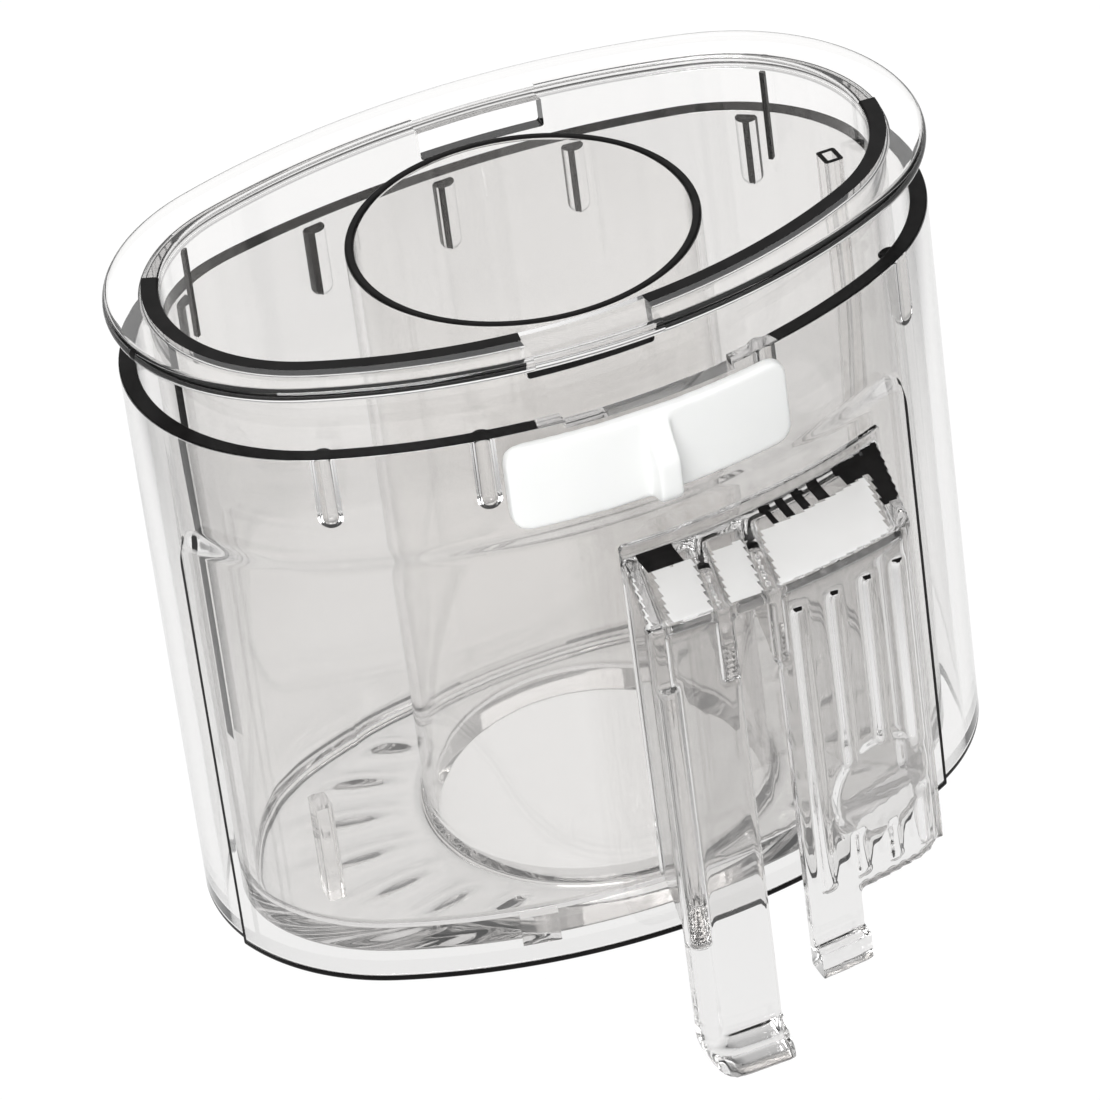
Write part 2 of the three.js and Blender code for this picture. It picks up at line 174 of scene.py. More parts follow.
def outward(oval, x, y):
    """How far a point is outside the oval, less than 0 inside it."""
    for (cx, cy), radius, start, sweep in oval_arcs(oval):
        turn = (math.atan2(y - cy, x - cx) - start) % (2 * math.pi)
        if turn <= sweep:
            return math.hypot(x - cx, y - cy) - radius
    return -FAR


def along_where(oval, wanted, start, stop, steps=4000):
    """The distance along the oval, between two shares of it, where wanted(point) is least."""
    tries = np.linspace(start, stop, steps) * perimeter(oval)
    return min(tries, key=lambda along: abs(wanted(place_on(oval, along)[0])))


def side_place(oval, x, side):
    """The place on the front (-1) or back (+1) of an oval at x."""
    share = (0, 0.55) if side < 0 else (0.4, 1.0)
    along = along_where(oval, lambda p: p[0] - x if p[1] * side > 0 else FAR, *share)
    return place_on(oval, along)


# ---- Mesh making --------------------------------------------------------------------

def mesh_object(name, points, faces):
    mesh = bpy.data.meshes.new(name)
    mesh.from_pydata([tuple(MM * c for c in p) for p in points], [], faces)
    obj = bpy.data.objects.new(name, mesh)
    bpy.context.scene.collection.objects.link(obj)
    bm = bmesh.new()
    bm.from_mesh(mesh)
    bmesh.ops.recalc_face_normals(bm, faces=bm.faces)
    bm.to_mesh(mesh)
    bm.free()
    return obj


def filleted(corners, steps=6):
    """A closed outline through the corners (a, b, radius), each corner rounded by its radius.

    A guard point just before and after each round keeps smooth shading off the flats.
    """
    points = []
    for i, (a, b, radius) in enumerate(corners):
        corner = np.array([a, b])
        before = np.array(corners[i - 1][:2]) - corner
        after = np.array(corners[(i + 1) % len(corners)][:2]) - corner
        if not radius:
            points.append(corner)
            continue
        before = before / np.linalg.norm(before)
        after = after / np.linalg.norm(after)
        half = math.acos(np.clip(before @ after, -1, 1)) / 2
        bisector = (before + after) / np.linalg.norm(before + after)
        centre = corner + bisector * radius / math.sin(half)
        setback = radius / math.tan(half)
        first = corner + before * setback - centre
        last = corner + after * setback - centre
        points.append(corner + before * (setback + GUARD))
        for share in np.linspace(0, 1, steps + 1):
            spoke = first * math.sin((1 - share) * (math.pi - 2 * half))
            spoke = spoke + last * math.sin(share * (math.pi - 2 * half))
            points.append(centre + spoke / np.linalg.norm(spoke) * radius)
        points.append(corner + after * (setback + GUARD))
    return points


def swept(name, rings):
    """A closed ring-shaped skin through equal closed rings of points, one for each station."""
    count, size = len(rings), len(rings[0])
    points = [p for ring in rings for p in ring]
    faces = []
    for i in range(count):
        here, there = i * size, (i + 1) % count * size
        for k in range(size):
            after = (k + 1) % size
            faces.append((here + k, there + k, there + after, here + after))
    return mesh_object(name, points, faces)


def prism(name, outline, low, high, lift=lambda a, b, c: (a, b, c)):
    """An outline (a, b) pushed from low to high along c. lift turns (a, b, c) into (x, y, z)."""
    count = len(outline)
    points = [lift(a, b, c) for c in (low, high) for a, b in outline]
    sides = [(i, (i + 1) % count, (i + 1) % count + count, i + count) for i in range(count)]
    faces = [tuple(range(count)), tuple(range(count, 2 * count)), *sides]
    return mesh_object(name, points, faces)


def front_prism(name, outline, near, far):
    """A front-view outline (x, z) pushed from y = near to y = far."""
    return prism(name, outline, near, far, lambda a, b, c: (a, c, b))


def block(name, x0, x1, y0, y1, z0, z1):
    """A closed box for cutting."""
    return prism(name, [(x0, y0), (x1, y0), (x1, y1), (x0, y1)], z0, z1)


def front_band(name, near, far, low, high, left=-16.0, right=46.0, steps=64):
    """A wall that follows the sleeve's front arc, between two distances out from its face."""
    def arc(distance):
        xs = np.linspace(left, right, steps) * (FRONT_RADIUS + distance) / FRONT_RADIUS
        return [(x, front_y(x, distance)) for x in xs]
    return prism(name, arc(far) + arc(near)[::-1], low, high)


def rounded_box(x0, x1, z0, z1, low_left=0.0, low_right=0.0, high_right=0.0, high_left=0.0):
    return filleted([(x0, z0, low_left), (x1, z0, low_right), (x1, z1, high_right), (x0, z1, high_left)])


def plate_outline(size, corner):
    """The outline of a plate with four equal corners."""
    return rounded_box(size["left"], size["right"], size["low"], size["high"], *[corner] * 4)


def applied(obj):
    """Replaces the object's mesh by its mesh with all modifiers."""
    graph = bpy.context.evaluated_depsgraph_get()
    made = bpy.data.meshes.new_from_object(obj.evaluated_get(graph))
    obj.modifiers.clear()
    obj.data = made
    return obj


def cut_or_join(obj, others, operation):
    """Joins others to obj, cuts them from it or keeps only what is in both, and removes them."""
    for other in others:
        modifier = obj.modifiers.new(operation, "BOOLEAN")
        modifier.operation = operation
        modifier.object = other
        modifier.solver = "EXACT"
        applied(obj)
        bpy.data.objects.remove(other)
    return obj


def joined(name, parts):
    """Several closed meshes in one object, which may run into each other."""
    bm = bmesh.new()
    for part in parts:
        bm.from_mesh(part.data)
        bpy.data.objects.remove(part)
    mesh = bpy.data.meshes.new(name)
    bm.to_mesh(mesh)
    bm.free()
    obj = bpy.data.objects.new(name, mesh)
    bpy.context.scene.collection.objects.link(obj)
    return obj


def moulded(obj, voxel, rounds):
    """Fuses overlapping closed meshes into one moulding with soft edges."""
    remesh = obj.modifiers.new("fuse", "REMESH")
    remesh.mode = "VOXEL"
    remesh.voxel_size = voxel * MM
    smooth = obj.modifiers.new("soften", "SMOOTH")
    smooth.factor = 0.5
    smooth.iterations = rounds
    return applied(obj)


def shade(obj, sharp_degrees):
    """Smooth shading that stays sharp over edges that turn more than this."""
    obj.data.shade_smooth()
    obj.data.set_sharp_from_angle(angle=math.radians(sharp_degrees))
    return obj


# ---- Materials ----------------------------------------------------------------------

def new_material(name):
    material = bpy.data.materials.new(name)
    material.use_nodes = True
    nodes = material.node_tree.nodes
    return material, nodes, material.node_tree.links, nodes["Principled BSDF"]


def noise(nodes, links, scale, detail=2.0, stretch=(1, 1, 1)):
    """Noise over the piece in metres, stretched along an axis."""
    where = nodes.new("ShaderNodeTexCoord")
    mapping = nodes.new("ShaderNodeMapping")
    mapping.inputs["Scale"].default_value = stretch
    texture = nodes.new("ShaderNodeTexNoise")
    texture.inputs["Scale"].default_value = scale
    texture.inputs["Detail"].default_value = detail
    links.new(where.outputs["Object"], mapping.inputs["Vector"])
    links.new(mapping.outputs["Vector"], texture.inputs["Vector"])
    return texture.outputs["Fac"]


def ranged(nodes, links, value, low, high):
    """A value from 0 to 1 spread over another range."""
    spread = nodes.new("ShaderNodeMapRange")
    spread.inputs["To Min"].default_value = low
    spread.inputs["To Max"].default_value = high
    links.new(value, spread.inputs["Value"])
    return spread.outputs["Result"]


IOR = 1.57
SMOKE = dict(color=(0.5, 0.48, 0.47, 1), density=8.0)
# Painted shade: seen edge-on, a face's tint darkens to draw dark outlines: from where on, and how much
# is left.
EDGE_ON_SHADE = dict(start=0.75, clearness=0.15)


def tint_ramp(nodes, low, high):
    """A colour ramp from one colour to another."""
    ramp = nodes.new("ShaderNodeValToRGB")
    ramp.color_ramp.elements[0].color = (*low, 1)
    ramp.color_ramp.elements[1].color = (*high, 1)
    return ramp


def clear_plastic(name, clearness):
    """Clear moulded plastic: each face takes a little light, and so does the way through. Faces seen
    edge-on get a darker tint, a painted shade.
    """
    material, nodes, links, shader = new_material(name)
    edge = nodes.new("ShaderNodeLayerWeight")
    edge.inputs["Blend"].default_value = 0.5
    plain = (clearness, clearness * 0.994, clearness * 0.988)
    # Painted shade: the tint turns dark grey on faces seen edge-on, for dark outlines.
    tint = tint_ramp(nodes, plain, [EDGE_ON_SHADE["clearness"]] * 3)
    tint.color_ramp.elements[0].position = EDGE_ON_SHADE["start"]
    links.new(edge.outputs["Facing"], tint.inputs["Fac"])
    links.new(tint.outputs["Color"], shader.inputs["Base Color"])
    shader.inputs["Transmission Weight"].default_value = 1.0
    shader.inputs["IOR"].default_value = IOR
    haze = noise(nodes, links, 160.0)
    links.new(ranged(nodes, links, haze, 0.0, 0.035), shader.inputs["Roughness"])
    bump = nodes.new("ShaderNodeBump")
    bump.inputs["Strength"].default_value = 0.12
    bump.inputs["Distance"].default_value = 0.0006
    links.new(noise(nodes, links, 55.0, stretch=(1, 1, 0.25)), bump.inputs["Height"])
    links.new(bump.outputs["Normal"], shader.inputs["Normal"])
    smoke = nodes.new("ShaderNodeVolumeAbsorption")
    smoke.inputs["Color"].default_value = SMOKE["color"]
    smoke.inputs["Density"].default_value = SMOKE["density"]
    links.new(smoke.outputs["Volume"], nodes["Material Output"].inputs["Volume"])
    return material


def shade_paint_material(name):
    """Painted shade: near-black opaque paint on the clear plastic's edges, standing in for the dark they
    show because of how light runs inside the plastic.
    """
    material, nodes, links, shader = new_material(name)
    tint = tint_ramp(nodes, (0.003, 0.003, 0.003), (0.014, 0.013, 0.013))
    links.new(noise(nodes, links, 300.0), tint.inputs["Fac"])
    links.new(tint.outputs["Color"], shader.inputs["Base Color"])
    links.new(ranged(nodes, links, noise(nodes, links, 500.0), 0.15, 0.3), shader.inputs["Roughness"])
    shader.inputs["Specular IOR Level"].default_value = 0.04
    return material


def highlight_paint_material(name):
    """Painted highlight: half-clear, near-white plastic with a fine texture, standing in for the bright
    reflection on the arm's top plate.
    """
    material, nodes, links, shader = new_material(name)
    tint = tint_ramp(nodes, (0.93, 0.93, 0.925), (0.99, 0.99, 0.985))
    links.new(noise(nodes, links, 120.0), tint.inputs["Fac"])
    links.new(tint.outputs["Color"], shader.inputs["Base Color"])
    links.new(ranged(nodes, links, noise(nodes, links, 200.0), 0.15, 0.3), shader.inputs["Roughness"])
    shader.inputs["Transmission Weight"].default_value = 0.45
    shader.inputs["IOR"].default_value = IOR
    return material


def paint(obj, plain, *others):
    """Gives the piece its plain material, and each other material where its test says so."""
    obj.data.materials.clear()
    for material, _ in ((plain, None), *others):
        obj.data.materials.append(material)
    for face in obj.data.polygons:
        centre = face.center / MM
        wanted = [slot for slot, (_, test) in enumerate(others, 1) if test(centre, face.normal)]
        face.material_index = wanted[0] if wanted else 0


def white_plastic():
    """White moulded plastic with a fine satin texture."""
    material, nodes, links, shader = new_material("white_lock")
    tint = tint_ramp(nodes, (0.86, 0.87, 0.86), (0.9, 0.905, 0.895))
    links.new(noise(nodes, links, 90.0), tint.inputs["Fac"])
    links.new(tint.outputs["Color"], shader.inputs["Base Color"])
    links.new(ranged(nodes, links, noise(nodes, links, 700.0), 0.3, 0.42), shader.inputs["Roughness"])
    bump = nodes.new("ShaderNodeBump")
    bump.inputs["Strength"].default_value = 0.08
    bump.inputs["Distance"].default_value = 0.0001
    links.new(noise(nodes, links, 2500.0), bump.inputs["Height"])
    links.new(bump.outputs["Normal"], shader.inputs["Normal"])
    shader.inputs["Subsurface Weight"].default_value = 0.15
    shader.inputs["Subsurface Radius"].default_value = (0.002, 0.002, 0.0018)
    return material


# ---- Sleeve -------------------------------------------------------------------------

def raised_limits():
    """Where the raised front starts and ends, as distances along the sleeve's oval."""
    start = along_where(SLEEVE, lambda p: p[1] - RAISED["left_y"] if p[0] < 0 else FAR, 0.7, 1.0)
    end = along_where(SLEEVE, lambda p: p[0] - RAISED["right_x"] if p[1] < 0 else FAR, 0.2, 0.5)
    return start - perimeter(SLEEVE), end


def sleeve_stations():
    """The sleeve's stations, closer at the ends of the raised front, and where it starts and ends."""
    start, end = raised_limits()
    whole = perimeter(SLEEVE)
    count = round(whole / STATION_PITCH)
    even = [start + whole * i / count for i in range(count)]
    extra = [start + e for e in RAISED_STATIONS] + [end - e for e in RAISED_STATIONS]
    kept = [a for a in even if all(abs(a - e) > STATION_PITCH / 3 for e in extra)]
    return sorted(kept + extra), start, end


def sleeve_ring(along, start, end):
    """The wall's section at one station. The raised front has a rounded top corner at each end."""
    inside = min(along - start, end - along)
    step = RAISED["step"] if inside >= 0 else 0.0
    corner = RAISED["corner"]
    drop = corner - math.sqrt(max(0.0, corner ** 2 - (corner - min(max(inside, 0.0), corner)) ** 2))
    top = RAISED["top"] - drop
    place, facing = place_on(SLEEVE, along)
    slope = [(step * (1 + math.cos(math.pi * share)) / 2,
              top - (1 - share) * RAISED["slope"] + RAISED["over"], 0)
             for share in np.linspace(0, 1, 8)]
    section = filleted([
        (step, 0, SLEEVE_ROUNDS["foot"]),
        (step, BOTTOM_LINE["height"], 0),
        *slope,
        (0, SLEEVE_TOP, SLEEVE_ROUNDS["rim"]),
        (-SLEEVE_WALL, SLEEVE_TOP, SLEEVE_ROUNDS["rim"]),
        (-SLEEVE_WALL, 0, SLEEVE_ROUNDS["inner_foot"]),
    ])
    return [(*(place + facing * out), z) for out, z in section]


def fin(x, side):
    """A half-round guide fin on the sleeve's inner face, rounded off at its bottom."""
    place, facing = side_place(SLEEVE, x, side)
    cx, cy = place - facing * SLEEVE_WALL
    radius = FIN["radius"]
    levels = [(FIN["bottom"] + radius * (1 - math.cos(a)), radius * math.sin(a))
              for a in np.linspace(0.15, math.pi / 2, 6)]
    levels += [(FIN["top"] - FIN["chamfer"], radius), (FIN["top"], radius - FIN["chamfer"])]
    return turned("fin", cx, cy, levels)


def turned(name, cx, cy, levels, steps=32):
    """A round post about a vertical line, from (height, radius) pairs."""
    turns = [2 * math.pi * i / steps for i in range(steps)]
    points = [(cx + r * math.cos(a), cy + r * math.sin(a), z) for z, r in levels for a in turns]
    faces = [tuple(range(steps)), tuple(range((len(levels) - 1) * steps, len(levels) * steps))]
    for i in range(len(levels) - 1):
        for k in range(steps):
            after = (k + 1) % steps
            low, high = i * steps, (i + 1) * steps
            faces.append((low + k, low + after, high + after, high + k))
    return mesh_object(name, points, faces)


def lock_slot():
    """The slot in the front wall that the lock's tongue slides in."""
    left, right = TONGUE["left"] - SLOT_GAP, TONGUE["right"] + LOCK_TRAVEL + 2 * SLOT_GAP
    return block("slot", left, right, -FAR, 0, TONGUE["low"] - SLOT_GAP, TONGUE["high"] + SLOT_GAP)


def rim_notch():
    """The shallow step in the rim over the lock."""
    low = SLEEVE_TOP - RIM_NOTCH["depth"]
    return block("notch", RIM_NOTCH["left"], RIM_NOTCH["right"], -FAR, 0, low, FAR)


def sleeve():
    stations, start, end = sleeve_stations()
    shell = swept("sleeve_clear", [sleeve_ring(along, start, end) for along in stations])
    fins = [fin(x, -1) for x in FRONT_FINS] + [fin(x, 1) for x in BACK_FINS]
    cut_or_join(shell, fins, "UNION")
    cut_or_join(shell, [lock_slot(), rim_notch()], "DIFFERENCE")
    shade(shell, 32)
    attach(shell, "sleeve")
    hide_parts("sleeve_shell")
    return shell


# ---- Interlock arm ------------------------------------------------------------------

def leaned(x, y):
    """The arm's side faces lean towards -X as they go outwards."""
    return x + (y + SLEEVE["front"]) * ARM_LEAN


def leaning_prism(left, right, low, high):
    """A strip between two leaning side faces, which cuts a piece of the arm to its width."""
    far, near = -FAR / 2, 0.0
    corners = ((left, far), (right, far), (right, near), (left, near))
    return prism("strip", [(leaned(x, y), y) for x, y in corners], low, high)


def leaning_wall(left, width, far, low, high):
    """An upright wall of the arm that leans as its side faces do."""
    wall = front_band("wall", ARM["near"], far, low, high)
    return cut_or_join(wall, [leaning_prism(left, left + width, low - 1, high + 1)], "INTERSECT")


def arm_plate():
    """The arm's top plate, with a round front right corner."""
    low = ARM["top"] - ARM["plate"]
    plate = front_band("plate", ARM["near"], ARM["far"], low, ARM["top"])
    strip = leaning_prism(ARM["left"], ARM["right"], low - 1, ARM["top"] + 1)
    corner_x = leaned(ARM["right"], front_y(0, ARM["far"]) + ARM["far"] / 4)
    corner_y = front_y(corner_x, ARM["far"])
    slope = math.tan(math.asin(corner_x / (FRONT_RADIUS + ARM["far"])))
    corners = [
        (-FAR, corner_y - (corner_x + FAR) * slope, 0),
        (corner_x, corner_y, ARM_CORNER),
        (leaned(ARM["right"], 0), 0, 0),
        (-FAR, 0, 0),
    ]
    round_corner = prism("round_corner", filleted(corners, steps=10), low - 1, ARM["top"] + 1)
    return cut_or_join(plate, [strip, round_corner], "INTERSECT")


def arm_pad():
    """The pad on the sleeve's face that the arm stands on."""
    pad = front_band("pad", ARM["near"], ARM["near"] + PAD["thickness"], PAD["low"], PAD["high"])
    return cut_or_join(pad, [front_prism("mask", plate_outline(PAD, 1), -FAR, 0)], "INTERSECT")


def long_leg():
    """The long leg: a blade with a bead down its left edge and a foot that kicks outwards."""
    blade = front_band("blade", ARM["far"] - ARM["wall"], ARM["far"], LEG["bottom"], ARM_INNER_TOP)
    face = -SLEEVE["front"] - ARM["far"]
    kick = [
        (face + ARM["wall"] / 2, LEG["bottom"], 0),
        (face + ARM["wall"] / 2, KICK["top"], 0),
        (face + 0.1, KICK["top"], 0),
        (face - KICK["reach"], KICK["low"], 1.2),
        (face - KICK["reach"], LEG["bottom"], 0.8),
    ]
    foot = prism("foot", filleted(kick), LEG["left"], LEG["right"], lambda y, z, x: (x, y, z))
    outline = rounded_box(LEG["left"], LEG["right"], LEG["bottom"], ARM_INNER_TOP, LEG["corner"], 0.8)
    mask = [front_prism("mask", outline, -FAR, 0) for _ in range(2)]
    cut_or_join(blade, mask[:1], "INTERSECT")
    cut_or_join(foot, mask[1:], "INTERSECT")
    x = LEG["left"] + LEG["bead"]
    levels = [(LEG["bottom"] + LEG["corner"], LEG["bead"]), (LEG["bead_top"], LEG["bead"])]
    return [blade, foot, turned("bead", x, front_y(x, ARM["far"] - LEG["bead_set_in"]), levels)]


def panel():
    """The ribbed front panel, whose left end runs down as the short leg with its lip."""
    near = ARM["far"] - ARM["wall"]
    plate = front_band("panel", near, ARM["far"], SHORT_LEG["bottom"], ARM_INNER_TOP)
    outline = filleted([
        (PANEL["left"], SHORT_LEG["bottom"], 0.6),
        (SHORT_LEG["right"], SHORT_LEG["bottom"], 0.6),
        (SHORT_LEG["right"], PANEL["bottom"], 1.0),
        (PANEL["right"], PANEL["bottom"], PANEL["corner"]),
        (PANEL["right"], ARM_INNER_TOP, 0),
        (PANEL["left"], ARM_INNER_TOP, 0),
    ])
    cut_or_join(plate, [front_prism("mask", outline, -FAR, 0)], "INTERSECT")
    return [plate, panel_lip(near), panel_disc(near), *panel_ribs()]


def panel_lip(near):
    """The lip at the short leg's tip."""
    far = ARM["far"] + SHORT_LEG["lip"]
    lip = front_band("lip", near, far, SHORT_LEG["bottom"], SHORT_LEG["lip_top"])
    mask = block("mask", PANEL["left"], SHORT_LEG["right"], -FAR, 0, -FAR, FAR)
    return cut_or_join(lip, [mask], "INTERSECT")


def panel_disc(near, steps=48):
    """The shallow disc low on the panel."""
    disc = front_band("disc", near, ARM["far"] + DISC["proud"], 0, ARM["top"])
    reach = DISC["radius"]
    turns = [2 * math.pi * i / steps for i in range(steps)]
    circle = [(DISC["x"] + reach * math.cos(a), DISC["z"] + reach * math.sin(a)) for a in turns]
    return cut_or_join(disc, [front_prism("mask", circle, -FAR, 0)], "INTERSECT")


def panel_ribs():
    """The ribs up the panel, each broken where the disc lies across it."""
    ribs = []
    for x in PANEL_RIBS:
        y = front_y(x, ARM["far"])
        half = math.sqrt(max(DISC["radius"] ** 2 - (x - DISC["x"]) ** 2, 0))
        spans = [(PANEL_RIB["low"], DISC["z"] - half), (DISC["z"] + half, PANEL_RIB["high"])]
        ribs += [turned("rib", x, y, [(z, PANEL_RIB["radius"]) for z in span]) for span in spans]
    return ribs


def interlock_arm():
    """The whole arm as one moulding: pad, plate, walls, gussets, long leg and panel."""
    inner = ARM["far"] - ARM["wall"] / 2
    walls = [leaning_wall(x, ARM["wall"], inner, ARM["bottom"], ARM_INNER_TOP)
             for x in (ARM["left"], ARM["right"] - ARM["wall"])]
    gussets = [leaning_wall(x, GUSSET["width"], inner, GUSSET["bottom"], ARM_INNER_TOP)
               for x in GUSSETS]
    arm = joined("interlock_arm", [arm_plate(), arm_pad(), *walls, *gussets, *long_leg(), *panel()])
    moulded(arm, voxel=0.5, rounds=2)
    shade(arm, 60)
    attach(arm, "sleeve")
    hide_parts("interlock_bracket", "interlock_long_leg", "interlock_panel")
    return arm


# ---- Slide lock ---------------------------------------------------------------------

def thumb_grip():
    """The slider's upright grip, seen from the side: sloped at the top and round at the bottom."""
    face = -SLEEVE["front"]
    root, out = face - LOCK["near"] - 0.8, face - GRIP["proud"]
    side = filleted([
        (root, GRIP["low"], 0),
        (root, GRIP["high"], 0),
        (face - LOCK["far"] - 0.5, GRIP["high"], 0.4),
        (out, GRIP["high"] - GRIP["slope"], 3.0),
        (out, GRIP["low"], 2.4),
    ])
    return prism("grip", side, GRIP["left"], GRIP["right"], lambda y, z, x: (x, y, z))


def lock_slider():
    """The white slider: a curved plate with rounded corners and an upright thumb grip."""
    levels = (LOCK["low"], LOCK["high"])
    plate = front_band("lock", LOCK["near"], LOCK["far"], *levels, left=-30.0, right=40.0)
    outline = plate_outline(LOCK, LOCK["corner"])
    cut_or_join(plate, [front_prism("mask", outline, -FAR, 0)], "INTERSECT")
    slider = joined("lock_slider_white", [plate, thumb_grip()])
    moulded(slider, voxel=0.3, rounds=24)
    shade(slider, 60)
    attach(slider, "slide_lock")
    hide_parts("lock_slider")
    return slider


def lock_retainer():
    """The retainer behind the sleeve's wall, with the tongue that joins it to the slider."""
    plate = front_band("retainer", RETAINER["near"], RETAINER["far"], RETAINER["low"], RETAINER["high"])
    cut_or_join(plate, [front_prism("mask", plate_outline(RETAINER, 1), -FAR, 0)], "INTERSECT")
    tongue = front_band("tongue", RETAINER["near"] + 0.3, -0.05, TONGUE["low"], TONGUE["high"])
    mask = block("mask", TONGUE["left"], TONGUE["right"], -FAR, 0, -FAR, FAR)
    cut_or_join(tongue, [mask], "INTERSECT")
    retainer = joined("lock_retainer_white", [plate, tongue])
    moulded(retainer, voxel=0.25, rounds=2)
    shade(retainer, 60)
    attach(retainer, "slide_lock")
    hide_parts("lock_retainer")
    return retainer


# ---- Pusher -------------------------------------------------------------------------

def shell_section():
    """The outer wall's section, from the floor's underside up over the flange to the cove.

    The last two corners only give the cove and the foot their directions, and are dropped.
    """
    flange_low = PUSHER_TOP - FLANGE["thickness"]
    corners = [
        (0, PUSHER_BOTTOM, PUSHER_ROUNDS["foot"]),
        (0, MOULD_LINE["low"], 0),
        (0, flange_low, FLANGE["root"]),
        (FLANGE["reach"], flange_low, FLANGE["low_edge"]),
        (FLANGE["reach"], PUSHER_TOP, FLANGE["high_edge"]),
        (RIM_BAND, PUSHER_TOP, 0),
        (-PUSHER_WALL, PUSHER_TOP, PUSHER_ROUNDS["rim"]),
        (-PUSHER_WALL, FLOOR_TOP, COVE),
        (-PUSHER_WALL - 2 * COVE, FLOOR_TOP, 0),
        (-PUSHER_WALL - 2 * COVE, PUSHER_BOTTOM, 0),
    ]
    return filleted(corners)[:-2]


def tube_section():
    """The feed tube's section as (radius, height), from its collar over its rim and down inside.

    The last two corners only give the collar and the foot their directions, and are dropped.
    """
    outer = TUBE["radius"]
    inner = outer - TUBE["wall"]
    past = outer + 2 * TUBE["collar"]
    corners = [
        (outer, FLOOR_TOP, TUBE["collar"]),
        (outer, TUBE["top"], TUBE["round"]),
        (inner, TUBE["top"], TUBE["round"]),
        (inner, PUSHER_BOTTOM, TUBE["round"]),
        (past, PUSHER_BOTTOM, 0),
        (past, FLOOR_TOP, 0),
    ]
    return filleted(corners)[:-2]


def pusher_ring(along):
    """One station's closed ring: the outer wall's section, then the feed tube's."""
    place, facing = place_on(PUSHER, along)
    centre = np.array([0, TUBE["y"]])
    out = (place - centre) / np.linalg.norm(place - centre)
    wall = [(*(place + facing * reach), z) for reach, z in shell_section()]
    tube = [(*(centre + out * radius), z) for radius, z in tube_section()]
    height = RIDGES["height"] * math.cos(RIDGES["count"] / 2 * math.atan2(out[1], out[0])) ** 4
    if abs(out[0]) < RIDGES["fan"]:
        height = 0
    floor = []
    for share in np.linspace(0, 1, 9)[1:-1]:
        x, y, z = np.array(wall[-1]) * (1 - share) + np.array(tube[0]) * share
        floor.append((x, y, z + height * math.sin(math.pi * share)))
    return wall + floor + tube


def face_block(x, side, size):
    """A block that stands proud of the pusher's wall at x, with its root sunk into the wall."""
    place, facing = side_place(PUSHER, x, side)
    across = np.array([-facing[1], facing[0]]) * size["width"] / 2
    corners = ((-SUNK, -1), (size["proud"], -1), (size["proud"], 1), (-SUNK, 1))
    outline = [tuple(place + facing * out + across * way) for out, way in corners]
    return prism("block", outline, size["low"], size["high"])


def window_cutter(x, side):
    """Cuts the wall but not the feed tube, which is close behind it."""
    half = WINDOW["width"] / 2
    outline = rounded_box(x - half, x + half, WINDOW["low"], WINDOW["high"] + 0.01, 0.5, 0.5)
    depth = PUSHER["front"] if side < 0 else PUSHER["back"]
    return front_prism("window", outline, side * (depth - PUSHER_WALL - 2), side * FAR / 3)


def pusher():
    whole = perimeter(PUSHER)
    count = round(whole / STATION_PITCH)
    body = swept("pusher_clear", [pusher_ring(whole * i / count) for i in range(count)])
    ribs = [face_block(x, 1, STOP_RIB) for x in STOP_RIBS]
    lugs = [face_block(x, -1, STOP_LUG) for x in STOP_LUGS]
    cut_or_join(body, ribs + lugs, "UNION")
    windows = [window_cutter(WINDOW["front_x"], -1), window_cutter(WINDOW["back_x"], 1)]
    cut_or_join(body, windows, "DIFFERENCE")
    shade(body, 32)
    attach(body, "pusher")
    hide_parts("pusher_shell", "pusher_floor", "feed_tube")
    return body


def post(name, size, node, hollow):
    """A small square post on the pusher's floor, with a bore down from its top if it is hollow."""
    x, y, half_x, half_y = size["x"], size["y"], size["width"] / 2, size["depth"] / 2
    signs = ((-1, -1), (1, -1), (1, 1), (-1, 1))
    outline = filleted([(x + half_x * a, y + half_y * b, POST_CORNER) for a, b in signs], steps=4)
    made = prism(name, outline, size["low"], size["top"])
    if hollow:
        wall = size["wall"]
        bore = block("bore", x - half_x + wall, x + half_x - wall, y - half_y + wall, y + half_y - wall,
                     size["low"] + wall, FAR)
        cut_or_join(made, [bore], "DIFFERENCE")
    shade(made, 32)
    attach(made, "pusher")
    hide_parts(node)
    return made


# ---- Studio -------------------------------------------------------------------------

CAMERA = dict(yaw=18.941, elevation=34.086, roll=-7.785, distance=1234.4, lens=257.34)
AIM = (-2.39, -1.11, 47.77)
FLOOR_LEVEL = -12.6
FLOOR_REACH = 3000.0
GLOW = dict(x=26.6, y=83.3, across=140.0, along=310.0, fade=1.4, far=0.6)
# From straight down to straight up: how far up, and how bright.
SKY_STOPS = ((0.0, 1.0), (0.56, 1.0), (0.62, 0.12), (0.72, 0.12), (0.8, 0.6), (1.0, 1.0))


def add_camera():
    yaw, elevation, roll = (math.radians(CAMERA[k]) for k in ("yaw", "elevation", "roll"))
    forward = Vector((
        math.sin(yaw) * math.cos(elevation),
        math.cos(yaw) * math.cos(elevation),
        -math.sin(elevation),
    ))
    data = bpy.data.cameras.new("camera")
    data.sensor_width = 36.0
    data.lens = CAMERA["lens"]
    data.clip_start, data.clip_end = 0.05, 20.0
    camera = bpy.data.objects.new("camera", data)
    camera.rotation_mode = "QUATERNION"
    upright = forward.to_track_quat("-Z", "Y")
    camera.rotation_quaternion = upright @ Matrix.Rotation(roll, 3, "Z").to_quaternion()
    camera.location = Vector(AIM) * MM - forward * CAMERA["distance"] * MM
    bpy.context.scene.collection.objects.link(camera)
    bpy.context.scene.camera = camera


